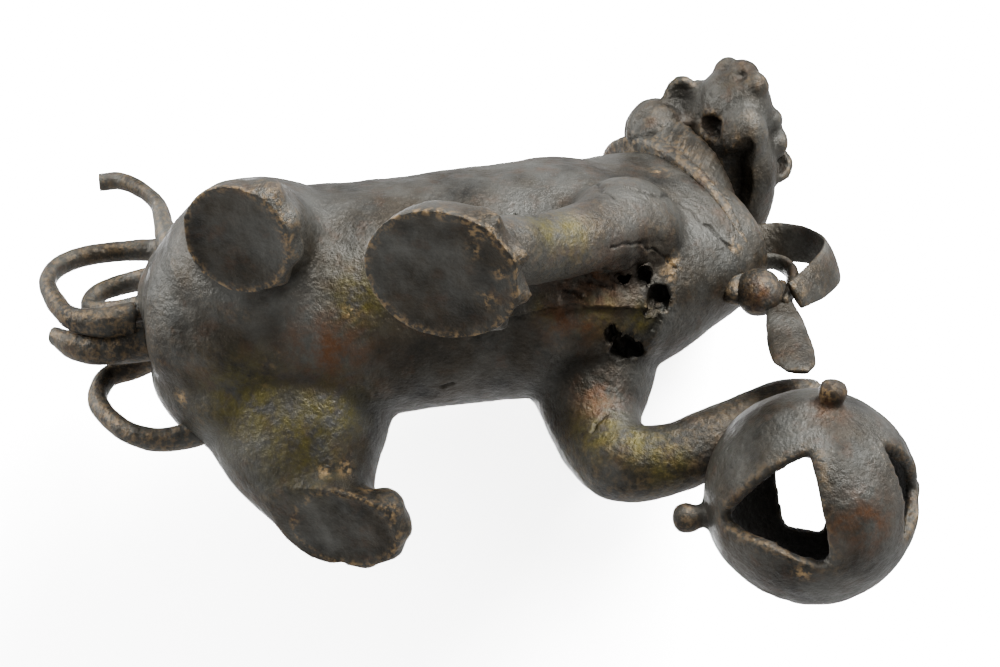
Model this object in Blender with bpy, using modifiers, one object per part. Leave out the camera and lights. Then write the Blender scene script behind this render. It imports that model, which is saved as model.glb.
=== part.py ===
"""Guardian lion statue: one small hollow-cast bronze, modelled as one solid.

Metres, +Z up. The lion faces -Y and its left side is +X. It stands on its
right forefoot, both hind feet and the ball under its left forepaw. The
origin is on the ground under the middle of the statue's box.
"""
import math

import bmesh
import bpy
import numpy as np
from mathutils import Matrix, Vector

# Driving dimensions in metres
FIGURE_LENGTH = 0.110
BALL_DIAMETER = 0.0392
BALL_WALL = 0.0026
BALL_REST_FLAT = 0.0004
KNOB_DIAMETER = 0.0058
KNOB_HEIGHT = 0.0046
BELL_DIAMETER = 0.0092
COLLAR_WIDTH = 0.0026
COLLAR_RISE = 0.0010
RIBBON_WIDTH = 0.0085
RIBBON_THICKNESS = 0.0019
CLAY_VOXEL = 0.0011

# How finely the faceted solid follows the shapes
BODY_FACES = 2540
SMOOTHING_ROUNDS = 4
LIMB_SIDES = 10
TENDRIL_SIDES = 7
LOFT_SIDES = 28
BALL_SIDES = 28
HOLLOW_SIDES = 16
LIMB_STEPS = 3
RIBBON_STEPS = 3
TENDRIL_STEPS = 2

# The figure's pose is given in shares of its length, a hundred and tenth each
FIGURE_PARTS = 110.0
SHARE = FIGURE_LENGTH / FIGURE_PARTS

# Torso stations from the rump to the neck: y, z, half width, half depth
TORSO = (
    (35.5, 27, 6, 6), (31, 27.5, 15, 15), (21, 28, 21.5, 21), (8, 31, 23, 22),
    (-8, 38, 22, 22.5), (-25, 46, 21.5, 23.5), (-38, 52, 21.5, 24.5), (-46, 58.5, 20, 25),
    (-51, 65, 17, 24.3), (-55.5, 72, 15, 23), (-58, 77, 13.5, 20), (-60, 81, 9, 12),
)
TORSO_BROADEST = 23
SPINE_LEAN = 2.6

# Haunches: centre and radii
LEFT_HAUNCH = ((10, 14, 27), (17, 21, 21))
RIGHT_HAUNCH = ((-11, 12, 28), (16, 19, 19))

# Scallops of the spine ridge: place along the back, length and height
SPINE_SCALLOPS = ((14, 5, 2.6), (5, 6, 2.8), (-5, 8, 3.4), (-16, 7, 3), (-31, 13, 5.5))
SCALLOP_HALF_THICKNESS = 1.5
SCALLOP_OUT = (0.9, 0.44)

# Legs from the body to just above the ground: x, y, z, radius
RIGHT_HIND_LEG = (
    (-12, 14, 30, 15), (-20, 10, 22, 12), (-28, 7, 13, 9.5), (-34, 4.5, 4, 8.5), (-35, 4, -1, 8),
)
LEFT_HIND_LEG = (
    (9, 11, 30, 21.5), (15, 6, 23, 20), (21, 1, 14, 15.5), (25.5, -4.5, 6, 10), (26.5, -9, -1, 8.5),
)
RIGHT_FORELEG = (
    (-4, -54, 58, 6), (-13, -53, 50, 10.5), (-20, -50, 36, 7), (-24, -44, 24, 6.3),
    (-29, -38, 12, 7), (-31, -35, -1, 8),
)
LEFT_FORELEG = (
    (3, -46, 52, 7), (12, -47.5, 42, 12.5), (18, -51, 31, 9), (20, -57.5, 23.5, 7.8),
    (19.5, -67, 25, 6.6), (17.5, -77, 33.5, 6.2), (15.0, -86, 39.5, 5.6), (13.5, -92.5, 41.5, 3.8),
)

# Soles on the ground: centre x, y, half sizes across and along, height, toe heading in degrees
RIGHT_HIND_SOLE = (-34.5, 4, 11, 10, 10, 0)
LEFT_HIND_SOLE = (26.5, -11, 8.5, 10.5, 9, 20)
RIGHT_FORE_SOLE = (-32, -33.5, 13, 14, 12, 0)
# How a foot narrows upwards: share of its height, share of its width
SOLE_LEVELS = ((0, 1.0), (0.45, 0.9), (0.8, 0.68), (1, 0.4))
GROUND_OVERLAP = 1.0
TOE_COUNT = 4
TOE_FAN = 34
TOE_SET_IN = 0.74
TOE_RISE = 3.4
TOE_RADII = (4.2, 4.2, 4.6)
CLAW_REACH = 0.4
CLAW_RISE = 2.9
CLAW_RADII = (2.0, 1.4, 1.6)

# The head's own axes: face to the lion's right, crown along the neck
HEAD_CENTRE = (-3, -64, 93)
FACE_WAY = Vector((-0.975, -0.1, 0.2)).normalized()
NECK_WAY = Vector((0, -0.652, 0.758))
CROWN_WAY = (NECK_WAY - FACE_WAY * NECK_WAY.dot(FACE_WAY)).normalized()
SIDE_WAY = CROWN_WAY.cross(FACE_WAY)

# Forms of the head on its middle line: forward, up, to the left, and three radii
HEAD_MIDDLE = (
    (-1, -2.5, 0, 18, 8.8, 13), (-10, -3, 0, 10, 8, 11), (13, -2, 0, 9, 7, 9), (19.5, -1, 0, 4, 3.4, 4),
    (4, 4.2, 0, 4.5, 2.8, 4.5), (-3, 3.8, 0, 4.5, 2.8, 5), (-10, 2.4, 0, 4.5, 2.8, 5),
)
# The same on both sides: nostril wing, cheek, brow and eye
HEAD_PAIRS = (
    (19.2, -1.5, 4.4, 3.4, 3, 3), (11, -5, 7.5, 6, 4.5, 5),
    (8, 4, 5.5, 3.6, 2.6, 4.6), (12.6, 2.8, 5.8, 2.6, 2.4, 2.6),
)
# Curls in a wreath round the back of the head
NAPE_CURLS = 6
NAPE_PLACE = (-14, -3)
NAPE_SPREAD = (4.4, 7)
NAPE_RADII = (6.5, 4, 4.4)
# The mane's thick side behind the right ear: centre and radii
MANE_SIDE = ((-13, -49, 89), (6, 6, 7))

# Collar ring square to the neck: centre y, z, half sizes across and along
COLLAR = (-56, 76, 16.3, 24.6)
# The band's section: place across its width, and how far its edge lies under its crest
COLLAR_SECTION = ((-0.5, 1), (-0.3, 0), (0.3, 0), (0.5, 1))
# Beard and mane between collar and jaw: y, z, half sizes across and along
RUFF = ((-55.5, 76, 14.6, 22.5), (-55.8, 81, 15.5, 20.3), (-56.2, 86, 15, 17.4), (-56.8, 87, 12.6, 15.5))
RUFF_LOCKS = 30
LOCK_GROOVE = 0.45
RUFF_SHIFT = -1

# Right and left ears: root, tip, hollow side
RIGHT_EAR = ((-8.5, -53.5, 100.5), (-14, -50, 109), (-0.5, -0.3, -0.8))
LEFT_EAR = ((-3.7, -71.1, 90.4), (-6.4, -73, 95.8), (-0.8, -0.3, -0.4))
EAR_HALF_WIDTH = 4.0
EAR_HALF_THICKNESS = 1.7
EAR_ROOT_DEPTH = 1.2
# The ear's scoop: its offset, length, width and depth as shares of the ear's own
EAR_SCOOP = (1.1, 0.78, 0.72, 1.3)

# Ribbon ends tied at the collar's front: x, y, z, share of the ribbon's half width
UPPER_RIBBON = (
    (3, -69, 76, 0.8), (4, -75.5, 79, 0.9), (3, -82.5, 77.5, 0.9), (1.8, -88.0, 71.5, 0.9),
    (1.2, -87.5, 64, 0.85), (0.5, -84, 55.5, 0.66),
)
UPPER_RIBBON_BROAD_WAY = (-0.75, 0.45, 0.4)
RIBBON_LOOP = (
    (1, -71, 64, 0.45), (2, -76.5, 69, 0.45), (2.5, -81, 67, 0.45),
    (2.2, -82.4, 60, 0.45), (2, -82.2, 54, 0.4),
)
RIBBON_LOOP_BROAD_WAY = (1, 0.1, 0.1)
RIBBON_LOOP_FLATNESS = 0.55
RIBBON_TONGUE = (
    (1.8, -79.5, 62, 0.33), (1.8, -81.5, 55, 0.56), (1.8, -83.5, 48.5, 0.87), (1.8, -86, 41, 1.0),
    (1.8, -88, 35.5, 0.92), (1.8, -89, 32.5, 0.52),
)
RIBBON_TONGUE_BROAD_WAY = (0.1, -1, 0.1)

BELL = (0, -77.4, 54.6)
LUG_RADII = (2.8, 2.8, 4.2)
LUG_RISE = 0.4

# Tail tendrils from the plume's root: x, y, z, radius
TAIL_ROOT = ((0, 30, 33, 10), (1, 36, 33, 8.5), (1, 39, 33, 5))
TENDRILS = (
    ((-3, 34, 38, 3.4), (-5, 38.5, 44, 2.2), (-6, 43.4, 52.2, 1.6), (-6, 48.6, 57.1, 1.5),
     (-6, 54.7, 59.9, 1.5), (-6, 58.6, 58.7, 1.4)),
    ((-2, 36, 40, 3.0), (0, 41.5, 45.6, 2.0), (0, 50.2, 43.2, 1.7), (0, 56.4, 39.2, 1.7),
     (0, 58.8, 33.8, 1.7), (0, 56.9, 27.6, 1.7), (0, 49.4, 19.6, 2.0), (0, 42.8, 18.6, 2.3), (1, 37, 22, 3.0)),
    ((0, 36, 36, 2.6), (3, 44, 38, 1.8), (4, 50, 34, 1.7), (4, 49, 28, 1.7), (3, 42, 27, 2.2),
     (2, 37, 28, 2.4)),
    ((5, 34, 22, 3.4), (6, 41, 19.2, 2.8), (6, 48, 18.6, 2.5), (6, 53.8, 21.0, 1.6)),
    ((10, 34, 26, 2.6), (13, 39, 23.5, 2.0), (14, 43.6, 20.5, 1.8), (15, 42.6, 13.5, 1.8),
     (16, 35.0, 7.6, 1.8), (17, 28.4, 7.2, 2.0), (17, 22.5, 10, 2.2), (16, 17, 15, 2.2)),
)
TENDRIL_STOUTNESS = 1.25
TENDRIL_FLATNESS = 0.8

# Casting holes in the breast: x, y, z, radius
CASTING_HOLES = ((-10.5, -56.5, 41, 2.0), (-5.3, -61.2, 39, 3.2), (2.7, -55.8, 35, 3.2))
HOLE_SHAPE = (1, 0.8, 1.8)
# The open mouth as hollows on the head: forward, up, to the left, and its three radii
MOUTH_HOLLOWS = ((3, -7.2, 12, 9, 2.4, 7), (14.5, -8, 2, 5, 2.6, 5))

# The ball under the left forepaw, and the corners of the openings between its bands
BALL_PLACE = (19.5, -94.5)
OPENINGS = (
    ((-0.88, -0.07, -0.47), (-0.11, 0.73, -0.68), (-0.12, 0.21, -0.97), (0.09, -0.37, -0.92)),
    ((-0.76, -0.64, -0.05), (0.12, -0.92, -0.37), (0.02, -0.93, 0.36)),
    ((0.17, 0.54, 0.82), (0.25, -0.1, 0.96), (0.85, -0.01, 0.53), (0.8, 0.37, 0.48)),
    ((0.48, 0.64, -0.6), (0.76, 0.01, -0.65), (0.82, 0.55, 0.13)),
    ((-0.55, 0.78, 0.3), (-0.05, 0.99, -0.05), (0.3, 0.9, 0.3)),
    ((0.68, -0.73, 0.08), (0.97, -0.22, -0.03), (0.66, -0.41, 0.63)),
)
OPENING_SIDE_STEPS = 4
CUTTER_DEPTHS = (0.55, 1.3)
# Knobs on the bands: way out of the ball and height in metres, one nearly worn away
KNOBS = (
    ((-0.98, -0.14, 0.13), KNOB_HEIGHT), ((0.06, 0.91, -0.41), 1.3 * KNOB_HEIGHT),
    ((0.2, -0.79, 0.57), 0.4 * KNOB_HEIGHT),
)
# A knob's section: share of its height, share of its half width
KNOB_SECTION = ((0, 0.75), (0.35, 0.7), (0.6, 1.0), (0.85, 0.9), (1, 0.45))


def figure(x, y, z):
    """A place on the figure, given in shares of its length."""
    return Vector((x, y, z)) * SHARE


def head(forward, up, side):
    """A place on the head, along the face, the crown and the head's left side."""
    return figure(*HEAD_CENTRE) + (FACE_WAY * forward + CROWN_WAY * up + SIDE_WAY * side) * SHARE


def smooth_path(stations, steps):
    """Points on a Catmull-Rom curve through the stations, all columns alike."""
    rows = np.array(stations, dtype=float)
    rows = np.vstack([2 * rows[0] - rows[1], rows, 2 * rows[-1] - rows[-2]])
    path = []
    for index in range(1, len(rows) - 2):
        a, b, c, d = rows[index - 1:index + 3]
        for step in range(steps):
            t = step / steps
            path.append(0.5 * (2 * b + (c - a) * t + (2 * a - 5 * b + 4 * c - d) * t * t
                               + (3 * b - a - 3 * c + d) * t ** 3))
    path.append(rows[-2])
    return np.array(path)


def finish(shape, name, turn_outwards=True):
    """Turns a bmesh into an object of the scene."""
    if turn_outwards:
        bmesh.ops.recalc_face_normals(shape, faces=shape.faces)
        if shape.calc_volume(signed=True) < 0:
            bmesh.ops.reverse_faces(shape, faces=shape.faces)
    mesh = bpy.data.meshes.new(name)
    shape.to_mesh(mesh)
    shape.free()
    made = bpy.data.objects.new(name, mesh)
    bpy.context.scene.collection.objects.link(made)
    return made


def loft(rings, name):
    """A closed body through rings of points, flat at both ends."""
    shape = bmesh.new()
    loops = [[shape.verts.new(point) for point in ring] for ring in rings]
    for near, far in zip(loops, loops[1:]):
        for index in range(len(near)):
            after = (index + 1) % len(near)
            shape.faces.new((near[index], near[after], far[after], far[index]))
    shape.faces.new(loops[0])
    shape.faces.new(loops[-1])
    return finish(shape, name)


def ring(centre, across, along, half_across, half_along, sides):
    """Points round an ellipse."""
    turns = [2 * math.pi * index / sides for index in range(sides)]
    return [centre + across * (half_across * math.cos(turn)) + along * (half_along * math.sin(turn))
            for turn in turns]


def limb(name, stations, steps=LIMB_STEPS, flat=1.0, broad=None, sides=LIMB_SIDES):
    """A tapered rod along a smooth path; flat thins it square to the broad way."""
    path = smooth_path(stations, steps)
    points = [figure(*row[:3]) for row in path]
    radii = [max(row[3], 0.3) * SHARE for row in path]
    across = Vector(broad) if broad else Vector((0, 0, 1))
    rings = []
    for index, point in enumerate(points):
        way = (points[min(index + 1, len(points) - 1)] - points[max(index - 1, 0)]).normalized()
        side = across - way * across.dot(way)
        if side.length < 0.2:
            side = way.orthogonal()
        side.normalize()
        if not broad:
            across = side
        rings.append(ring(point, side, way.cross(side), radii[index], radii[index] * flat, sides))
    return loft(rings, name)


def ellipsoid(name, centre, radii, axes=None, fineness=3):
    """A ball stretched along three axes, its radii in shares."""
    shape = bmesh.new()
    bmesh.ops.create_icosphere(shape, subdivisions=fineness, radius=1)
    columns = axes or (Vector((1, 0, 0)), Vector((0, 1, 0)), Vector((0, 0, 1)))
    turn = Matrix([list(axis) for axis in columns]).transposed().to_4x4()
    stretch = Matrix.Diagonal([radius * SHARE for radius in radii]).to_4x4()
    bmesh.ops.transform(shape, matrix=Matrix.Translation(centre) @ turn @ stretch, verts=shape.verts)
    return finish(shape, name)


def head_ellipsoid(name, place, radii, fineness=3):
    return ellipsoid(name, head(*place), radii, (FACE_WAY, CROWN_WAY, SIDE_WAY), fineness)


def evaluated(thing, name):
    """The object as its modifiers leave it, in place of the object."""
    graph = bpy.context.evaluated_depsgraph_get()
    mesh = bpy.data.meshes.new_from_object(thing.evaluated_get(graph))
    mesh.name = name
    bpy.data.objects.remove(thing)
    made = bpy.data.objects.new(name, mesh)
    bpy.context.scene.collection.objects.link(made)
    return made


def boolean(thing, others, operation):
    """Joins others to a thing, or cuts them from it, and removes them."""
    for other in others:
        step = thing.modifiers.new(other.name, "BOOLEAN")
        step.operation = operation
        step.solver = "EXACT"
        step.use_self = True
        step.object = other
        thing = evaluated(thing, thing.name.split(".")[0])
        bpy.data.objects.remove(other)
    return thing


def gather(name, things):
    """Several bodies in one mesh, still overlapping."""
    shape = bmesh.new()
    for thing in things:
        shape.from_mesh(thing.data)
        bpy.data.objects.remove(thing)
    return finish(shape, name, False)


def blended(name, things, faces):
    """Melts overlapping bodies into one smooth skin of a given number of faces."""
    clay = gather(name, things)
    skin = clay.modifiers.new("skin", "REMESH")
    skin.mode = "VOXEL"
    skin.voxel_size = CLAY_VOXEL
    soften = clay.modifiers.new("soften", "SMOOTH")
    soften.factor = 0.5
    soften.iterations = SMOOTHING_ROUNDS
    triangles = clay.modifiers.new("triangles", "TRIANGULATE")
    triangles.quad_method = "BEAUTY"
    clay = evaluated(clay, name)
    thin = clay.modifiers.new("thin", "DECIMATE")
    thin.ratio = faces / len(clay.data.polygons)
    return evaluated(clay, name)


def torso():
    """The barrel of the body, from the round rump to the neck."""
    path = smooth_path(TORSO, LIMB_STEPS)
    rings = []
    for index, (y, z, half_width, half_depth) in enumerate(path):
        after = path[min(index + 1, len(path) - 1)]
        before = path[max(index - 1, 0)]
        way = Vector((0, after[0] - before[0], after[1] - before[1])).normalized()
        upward = way.cross(Vector((1, 0, 0)))
        section = []
        for point in ring(Vector(), Vector((1, 0, 0)), Vector((0, 1, 0)), half_width, half_depth, LOFT_SIDES):
            lift = max(point.y / half_depth, 0)
            across = point.x - SPINE_LEAN * lift * lift * half_width / TORSO_BROADEST
            section.append(figure(across, y, z) + upward * point.y * SHARE)
        rings.append(section)
    return loft(rings, "torso")


def spine():
    """Flame-like scallops standing in a row along the leaning spine."""
    scallops = []
    middle = smooth_path(TORSO, 6)
    for place, length, height in SPINE_SCALLOPS:
        index = int(np.argmin(np.abs(middle[:, 0] - place)))
        y, z, half_width, half_depth = middle[index]
        way = Vector((0, *(middle[index + 3][:2] - middle[index - 3][:2]))).normalized()
        upward = way.cross(Vector((1, 0, 0)))
        out = (upward * SCALLOP_OUT[0] + Vector((-SCALLOP_OUT[1], 0, 0))).normalized()
        seat = figure(-SPINE_LEAN * half_width / TORSO_BROADEST, y, z) + upward * half_depth * SHARE
        scallops.append(ellipsoid("scallop", seat, (length, height, SCALLOP_HALF_THICKNESS),
                                  (way, out, way.cross(out)), fineness=2))
    return scallops


def toe_ways(heading):
    """The ways in which a foot's toes point."""
    turns = [math.radians(heading + TOE_FAN * (index - (TOE_COUNT - 1) / 2)) for index in range(TOE_COUNT)]
    return [Vector((math.sin(turn), -math.cos(turn), 0)) for turn in turns]


def sole(name, x, y, half_across, half_along, height, heading):
    """A foot's flat-bottomed pad with its fan of toes, standing on the ground."""
    levels = [(-GROUND_OVERLAP, SOLE_LEVELS[0][1])] + [(height * rise, swell) for rise, swell in SOLE_LEVELS]
    rings = [ring(figure(x, y, level), Vector((1, 0, 0)), Vector((0, 1, 0)), half_across * swell * SHARE,
                  half_along * swell * SHARE, LOFT_SIDES) for level, swell in levels]
    pieces = [loft(rings, name)]
    for way in toe_ways(heading):
        toe = figure(x + half_across * TOE_SET_IN * way.x, y + half_along * TOE_SET_IN * way.y, TOE_RISE)
        pieces.append(ellipsoid(name + "_toe", toe, TOE_RADII, fineness=2))
    return pieces


def claws(x, y, half_across, half_along, heading):
    """The worn nails at the front of a foot."""
    nails = []
    for way in toe_ways(heading):
        place = figure(x + half_across * way.x, y + half_along * way.y, CLAW_RISE) + way * CLAW_REACH * SHARE
        axes = (way, Vector((0, 0, 1)).cross(way), Vector((0, 0, 1)))
        nails.append(ellipsoid("claw", place, CLAW_RADII, axes, fineness=1))
    return nails


def body():
    """Everything of the figure that runs together without an edge."""
    pieces = [torso()]
    for centre, radii in (LEFT_HAUNCH, RIGHT_HAUNCH, MANE_SIDE):
        pieces.append(ellipsoid("swell", figure(*centre), radii))
    pieces.append(limb("right_hind_leg", RIGHT_HIND_LEG))
    pieces.append(limb("left_hind_leg", LEFT_HIND_LEG))
    pieces.append(limb("right_foreleg", RIGHT_FORELEG))
    pieces.append(limb("left_foreleg", LEFT_FORELEG))
    pieces += sole("right_hind_sole", *RIGHT_HIND_SOLE)
    pieces += sole("left_hind_sole", *LEFT_HIND_SOLE)
    pieces += sole("right_fore_sole", *RIGHT_FORE_SOLE)
    pieces += face()
    pieces.append(limb("tail_root", TAIL_ROOT))
    return blended("body", pieces, BODY_FACES)


def face():
    """The broad head with its short nose, brows, cheeks and the mane round the crown."""
    forms = list(HEAD_MIDDLE)
    for forward, up, side, *radii in HEAD_PAIRS:
        forms += [(forward, up, -side, *radii), (forward, up, side, *radii)]
    for curl in range(NAPE_CURLS):
        turn = 2 * math.pi * curl / NAPE_CURLS
        up = NAPE_PLACE[1] + NAPE_SPREAD[0] * math.cos(turn)
        forms.append((NAPE_PLACE[0], up, NAPE_SPREAD[1] * math.sin(turn), *NAPE_RADII))
    return [head_ellipsoid("head_form", form[:3], form[3:]) for form in forms]


def ruff():
    """The combed beard and mane between the collar and the jaw."""
    along = NECK_WAY.cross(Vector((1, 0, 0)))
    rings = []
    for y, z, half_width, half_depth in RUFF:
        centre = figure(RUFF_SHIFT, y, z)
        edge = ring(centre, Vector((1, 0, 0)), along, half_width * SHARE, half_depth * SHARE, 2 * RUFF_LOCKS)
        for index in range(1, len(edge), 2):
            edge[index] -= (edge[index] - centre).normalized() * LOCK_GROOVE * SHARE
        rings.append(edge)
    return loft(rings, "ruff")


def collar():
    """The raised band round the neck."""
    along = NECK_WAY.cross(Vector((1, 0, 0)))
    y, z, half_width, half_depth = COLLAR
    centre = figure(0, y, z)
    rings = []
    for step, drop in COLLAR_SECTION:
        fall = COLLAR_RISE * drop
        rings.append(ring(centre + NECK_WAY * COLLAR_WIDTH * step, Vector((1, 0, 0)), along,
                          half_width * SHARE - fall, half_depth * SHARE - fall, LOFT_SIDES))
    return loft(rings, "collar")


def ear(name, root, tip, hollow_way):
    """A spoon-shaped ear, hollow on one side."""
    foot = figure(*root)
    end = figure(*tip)
    long_way = (end - foot).normalized()
    normal = Vector(hollow_way)
    normal = (normal - long_way * normal.dot(long_way)).normalized()
    broad_way = long_way.cross(normal)
    half = (end - foot).length / 2 / SHARE + EAR_ROOT_DEPTH
    axes = (long_way, broad_way, normal)
    blade = ellipsoid(name, (foot + end) / 2, (half, EAR_HALF_WIDTH, EAR_HALF_THICKNESS), axes, 2)
    offset, length, width, depth = EAR_SCOOP
    scoop = ellipsoid("scoop", (foot + end) / 2 + normal * EAR_HALF_THICKNESS * offset * SHARE,
                      (half * length, EAR_HALF_WIDTH * width, EAR_HALF_THICKNESS * depth), axes, 2)
    return boolean(blade, [scoop], "DIFFERENCE")


def bell():
    """The round bell at the throat, on its lug."""
    radius = BELL_DIAMETER / 2 / SHARE
    x, y, z = BELL
    lug = ellipsoid("lug", figure(x, y + radius, z + LUG_RISE), LUG_RADII, fineness=2)
    return boolean(ellipsoid("bell", figure(x, y, z), (radius, radius, radius), fineness=3), [lug], "UNION")


def ribbon(name, stations, flat, broad_way, sides=LIMB_SIDES):
    """A strap whose stations give shares of the ribbon's half width."""
    half_width = RIBBON_WIDTH / 2 / SHARE
    rows = [(x, y, z, share * half_width) for x, y, z, share in stations]
    return limb(name, rows, RIBBON_STEPS, flat, broad_way, sides)


def ribbons():
    """The collar's tied ends: a broad folded strap and a loop with a hanging tongue."""
    flat = RIBBON_THICKNESS / RIBBON_WIDTH
    return [ribbon("upper_ribbon", UPPER_RIBBON, flat, UPPER_RIBBON_BROAD_WAY),
            ribbon("ribbon_loop", RIBBON_LOOP, RIBBON_LOOP_FLATNESS, RIBBON_LOOP_BROAD_WAY, TENDRIL_SIDES),
            ribbon("ribbon_tongue", RIBBON_TONGUE, flat, RIBBON_TONGUE_BROAD_WAY)]


def opening_cutter(corners, centre, radius):
    """A cutter from inside the ball outwards, through an opening with these corners."""
    outline = []
    for start, end in zip(corners, corners[1:] + corners[:1]):
        for step in range(OPENING_SIDE_STEPS):
            outline.append(Vector(start).lerp(Vector(end), step / OPENING_SIDE_STEPS).normalized())
    return loft([[centre + way * radius * depth for way in outline] for depth in CUTTER_DEPTHS], "opening")


def knob(way, height, centre, radius):
    """A small waisted knob standing on the ball."""
    way = Vector(way).normalized()
    seat = centre + way * (radius - BALL_WALL / 2)
    tip = centre + way * (radius + height)
    side = way.orthogonal().normalized()
    half = KNOB_DIAMETER / 2
    rings = [ring(seat.lerp(tip, rise), side, way.cross(side), half * swell, half * swell, LIMB_SIDES)
             for rise, swell in KNOB_SECTION]
    return loft(rings, "knob")


def sphere(name, centre, radius, sides):
    shape = bmesh.new()
    bmesh.ops.create_uvsphere(shape, u_segments=sides, v_segments=sides // 2, radius=radius,
                              matrix=Matrix.Translation(centre))
    return finish(shape, name)


def ball():
    """The hollow openwork ball: broad crossing bands with knobs on them."""
    radius = BALL_DIAMETER / 2
    x, y = BALL_PLACE
    centre = Vector((x * SHARE, y * SHARE, radius - BALL_REST_FLAT))
    cutters = [sphere("hollow", centre, radius - BALL_WALL, HOLLOW_SIDES)]
    cutters += [opening_cutter(corners, centre, radius) for corners in OPENINGS]
    shell = boolean(sphere("ball", centre, radius, BALL_SIDES), cutters, "DIFFERENCE")
    return boolean(shell, [knob(way, height, centre, radius) for way, height in KNOBS], "UNION")


def guardian_lion():
    lion = body()
    lion.name = "guardian_lion"
    details = []
    for x, y, half_across, half_along, _, heading in (RIGHT_HIND_SOLE, LEFT_HIND_SOLE, RIGHT_FORE_SOLE):
        details += claws(x, y, half_across, half_along, heading)
    details += [ruff(), collar(), ear("right_ear", *RIGHT_EAR), ear("left_ear", *LEFT_EAR), bell()]
    details += ribbons()
    details += spine()
    for tendril in TENDRILS:
        stout = [(*place, radius * TENDRIL_STOUTNESS) for *place, radius in tendril]
        details.append(limb("tendril", stout, TENDRIL_STEPS, TENDRIL_FLATNESS, (1, 0, 0), TENDRIL_SIDES))
    details.append(ball())
    lion = boolean(lion, details, "UNION")
    holes = []
    for x, y, z, radius in CASTING_HOLES:
        radii = [radius * share for share in HOLE_SHAPE]
        holes.append(ellipsoid("hole", figure(x, y, z), radii, fineness=2))
    for forward, up, side, *radii in MOUTH_HOLLOWS:
        holes.append(head_ellipsoid("mouth", (forward, up, side), radii, 2))
    lion = boolean(lion, holes, "DIFFERENCE")
    ground = bmesh.new()
    bmesh.ops.create_cube(ground, size=1)
    bmesh.ops.scale(ground, vec=(2 * FIGURE_LENGTH, 3 * FIGURE_LENGTH, FIGURE_LENGTH), verts=ground.verts)
    bmesh.ops.translate(ground, vec=(0, 0, -FIGURE_LENGTH / 2), verts=ground.verts)
    return boolean(lion, [finish(ground, "ground")], "DIFFERENCE")


def bronze():
    """Dark olive-brown patina over bronze."""
    material = bpy.data.materials.new("patinated_bronze")
    material.use_nodes = True
    shader = material.node_tree.nodes["Principled BSDF"]
    shader.inputs["Base Color"].default_value = (0.075, 0.066, 0.052, 1)
    shader.inputs["Metallic"].default_value = 0.6
    shader.inputs["Roughness"].default_value = 0.45
    return material


def stand_at_origin(lion):
    """Moves the statue so that the middle of its box stands on the origin."""
    places = np.array([corner.co for corner in lion.data.vertices])
    middle = (places.min(axis=0) + places.max(axis=0)) / 2
    lion.location = (-middle[0], -middle[1], 0)


for old in list(bpy.data.objects):
    bpy.data.objects.remove(old)
statue = guardian_lion()
statue.data.materials.clear()
statue.data.materials.append(bronze())
stand_at_origin(statue)
parts = bpy.data.collections.new("guardian_lion_statue")
bpy.context.scene.collection.children.link(parts)
bpy.context.scene.collection.objects.unlink(statue)
parts.objects.link(statue)
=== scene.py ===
import math

import bmesh
import bpy
import numpy as np
from mathutils import Matrix, Vector, noise


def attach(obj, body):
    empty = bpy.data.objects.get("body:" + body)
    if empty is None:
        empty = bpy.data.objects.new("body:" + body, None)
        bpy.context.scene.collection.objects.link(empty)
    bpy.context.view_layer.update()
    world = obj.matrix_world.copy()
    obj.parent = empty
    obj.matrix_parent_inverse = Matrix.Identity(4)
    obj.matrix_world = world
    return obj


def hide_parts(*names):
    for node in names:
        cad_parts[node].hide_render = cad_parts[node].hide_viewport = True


print("loading the frame")
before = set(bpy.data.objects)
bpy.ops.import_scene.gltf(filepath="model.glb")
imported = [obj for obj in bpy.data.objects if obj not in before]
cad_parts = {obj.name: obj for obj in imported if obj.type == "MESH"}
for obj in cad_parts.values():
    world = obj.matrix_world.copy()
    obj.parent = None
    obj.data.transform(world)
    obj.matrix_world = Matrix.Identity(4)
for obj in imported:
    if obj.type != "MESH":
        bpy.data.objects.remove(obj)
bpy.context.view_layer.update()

mm = 0.001
lionPlace = Vector((0.003055, 0.026741, 0))  # where the figure's own zero lies in the room
eastWay = Vector((1, 0, 0))


def at(x, y, z):
    return Vector((x, y, z)) * mm + lionPlace


def axesMatrix(place, firstWay, secondWay, thirdWay, scale=(1, 1, 1)):
    turn = Matrix((firstWay, secondWay, thirdWay)).transposed().to_4x4()
    return Matrix.Translation(place) @ turn @ Matrix.Diagonal((*scale, 1))


def easedStations(stations, steps):
    # more rows between the stations, eased through them
    rows = np.array(stations, dtype=float)
    rows = np.vstack([2 * rows[0] - rows[1], rows, 2 * rows[-1] - rows[-2]])
    eased = []
    for i in range(1, len(rows) - 2):
        a, b, c, d = rows[i - 1:i + 3]
        for t in np.arange(steps) / steps:
            eased.append(0.5 * (2 * b + (c - a) * t + (2 * a - 5 * b + 4 * c - d) * t ** 2
                                + (3 * b - a - 3 * c + d) * t ** 3))
    return eased + [rows[-2]]


def sweepRings(form, matrices, sides):
    # a circle carried through the matrices by extrusion, closed at both ends
    made = bmesh.ops.create_circle(form, cap_ends=True, segments=sides, radius=1, matrix=matrices[0])
    rim = list(dict.fromkeys(edge for vert in made["verts"] for edge in vert.link_edges))
    rings = [made["verts"]]
    for before, after in zip(matrices, matrices[1:]):
        grown = bmesh.ops.extrude_edge_only(form, edges=rim)["geom"]
        corners = [part for part in grown if isinstance(part, bmesh.types.BMVert)]
        rim = [part for part in grown if isinstance(part, bmesh.types.BMEdge)]
        bmesh.ops.transform(form, matrix=after @ before.inverted(), verts=corners)
        rings.append(corners)
    bmesh.ops.contextual_create(form, geom=rim)
    return rings


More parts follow.
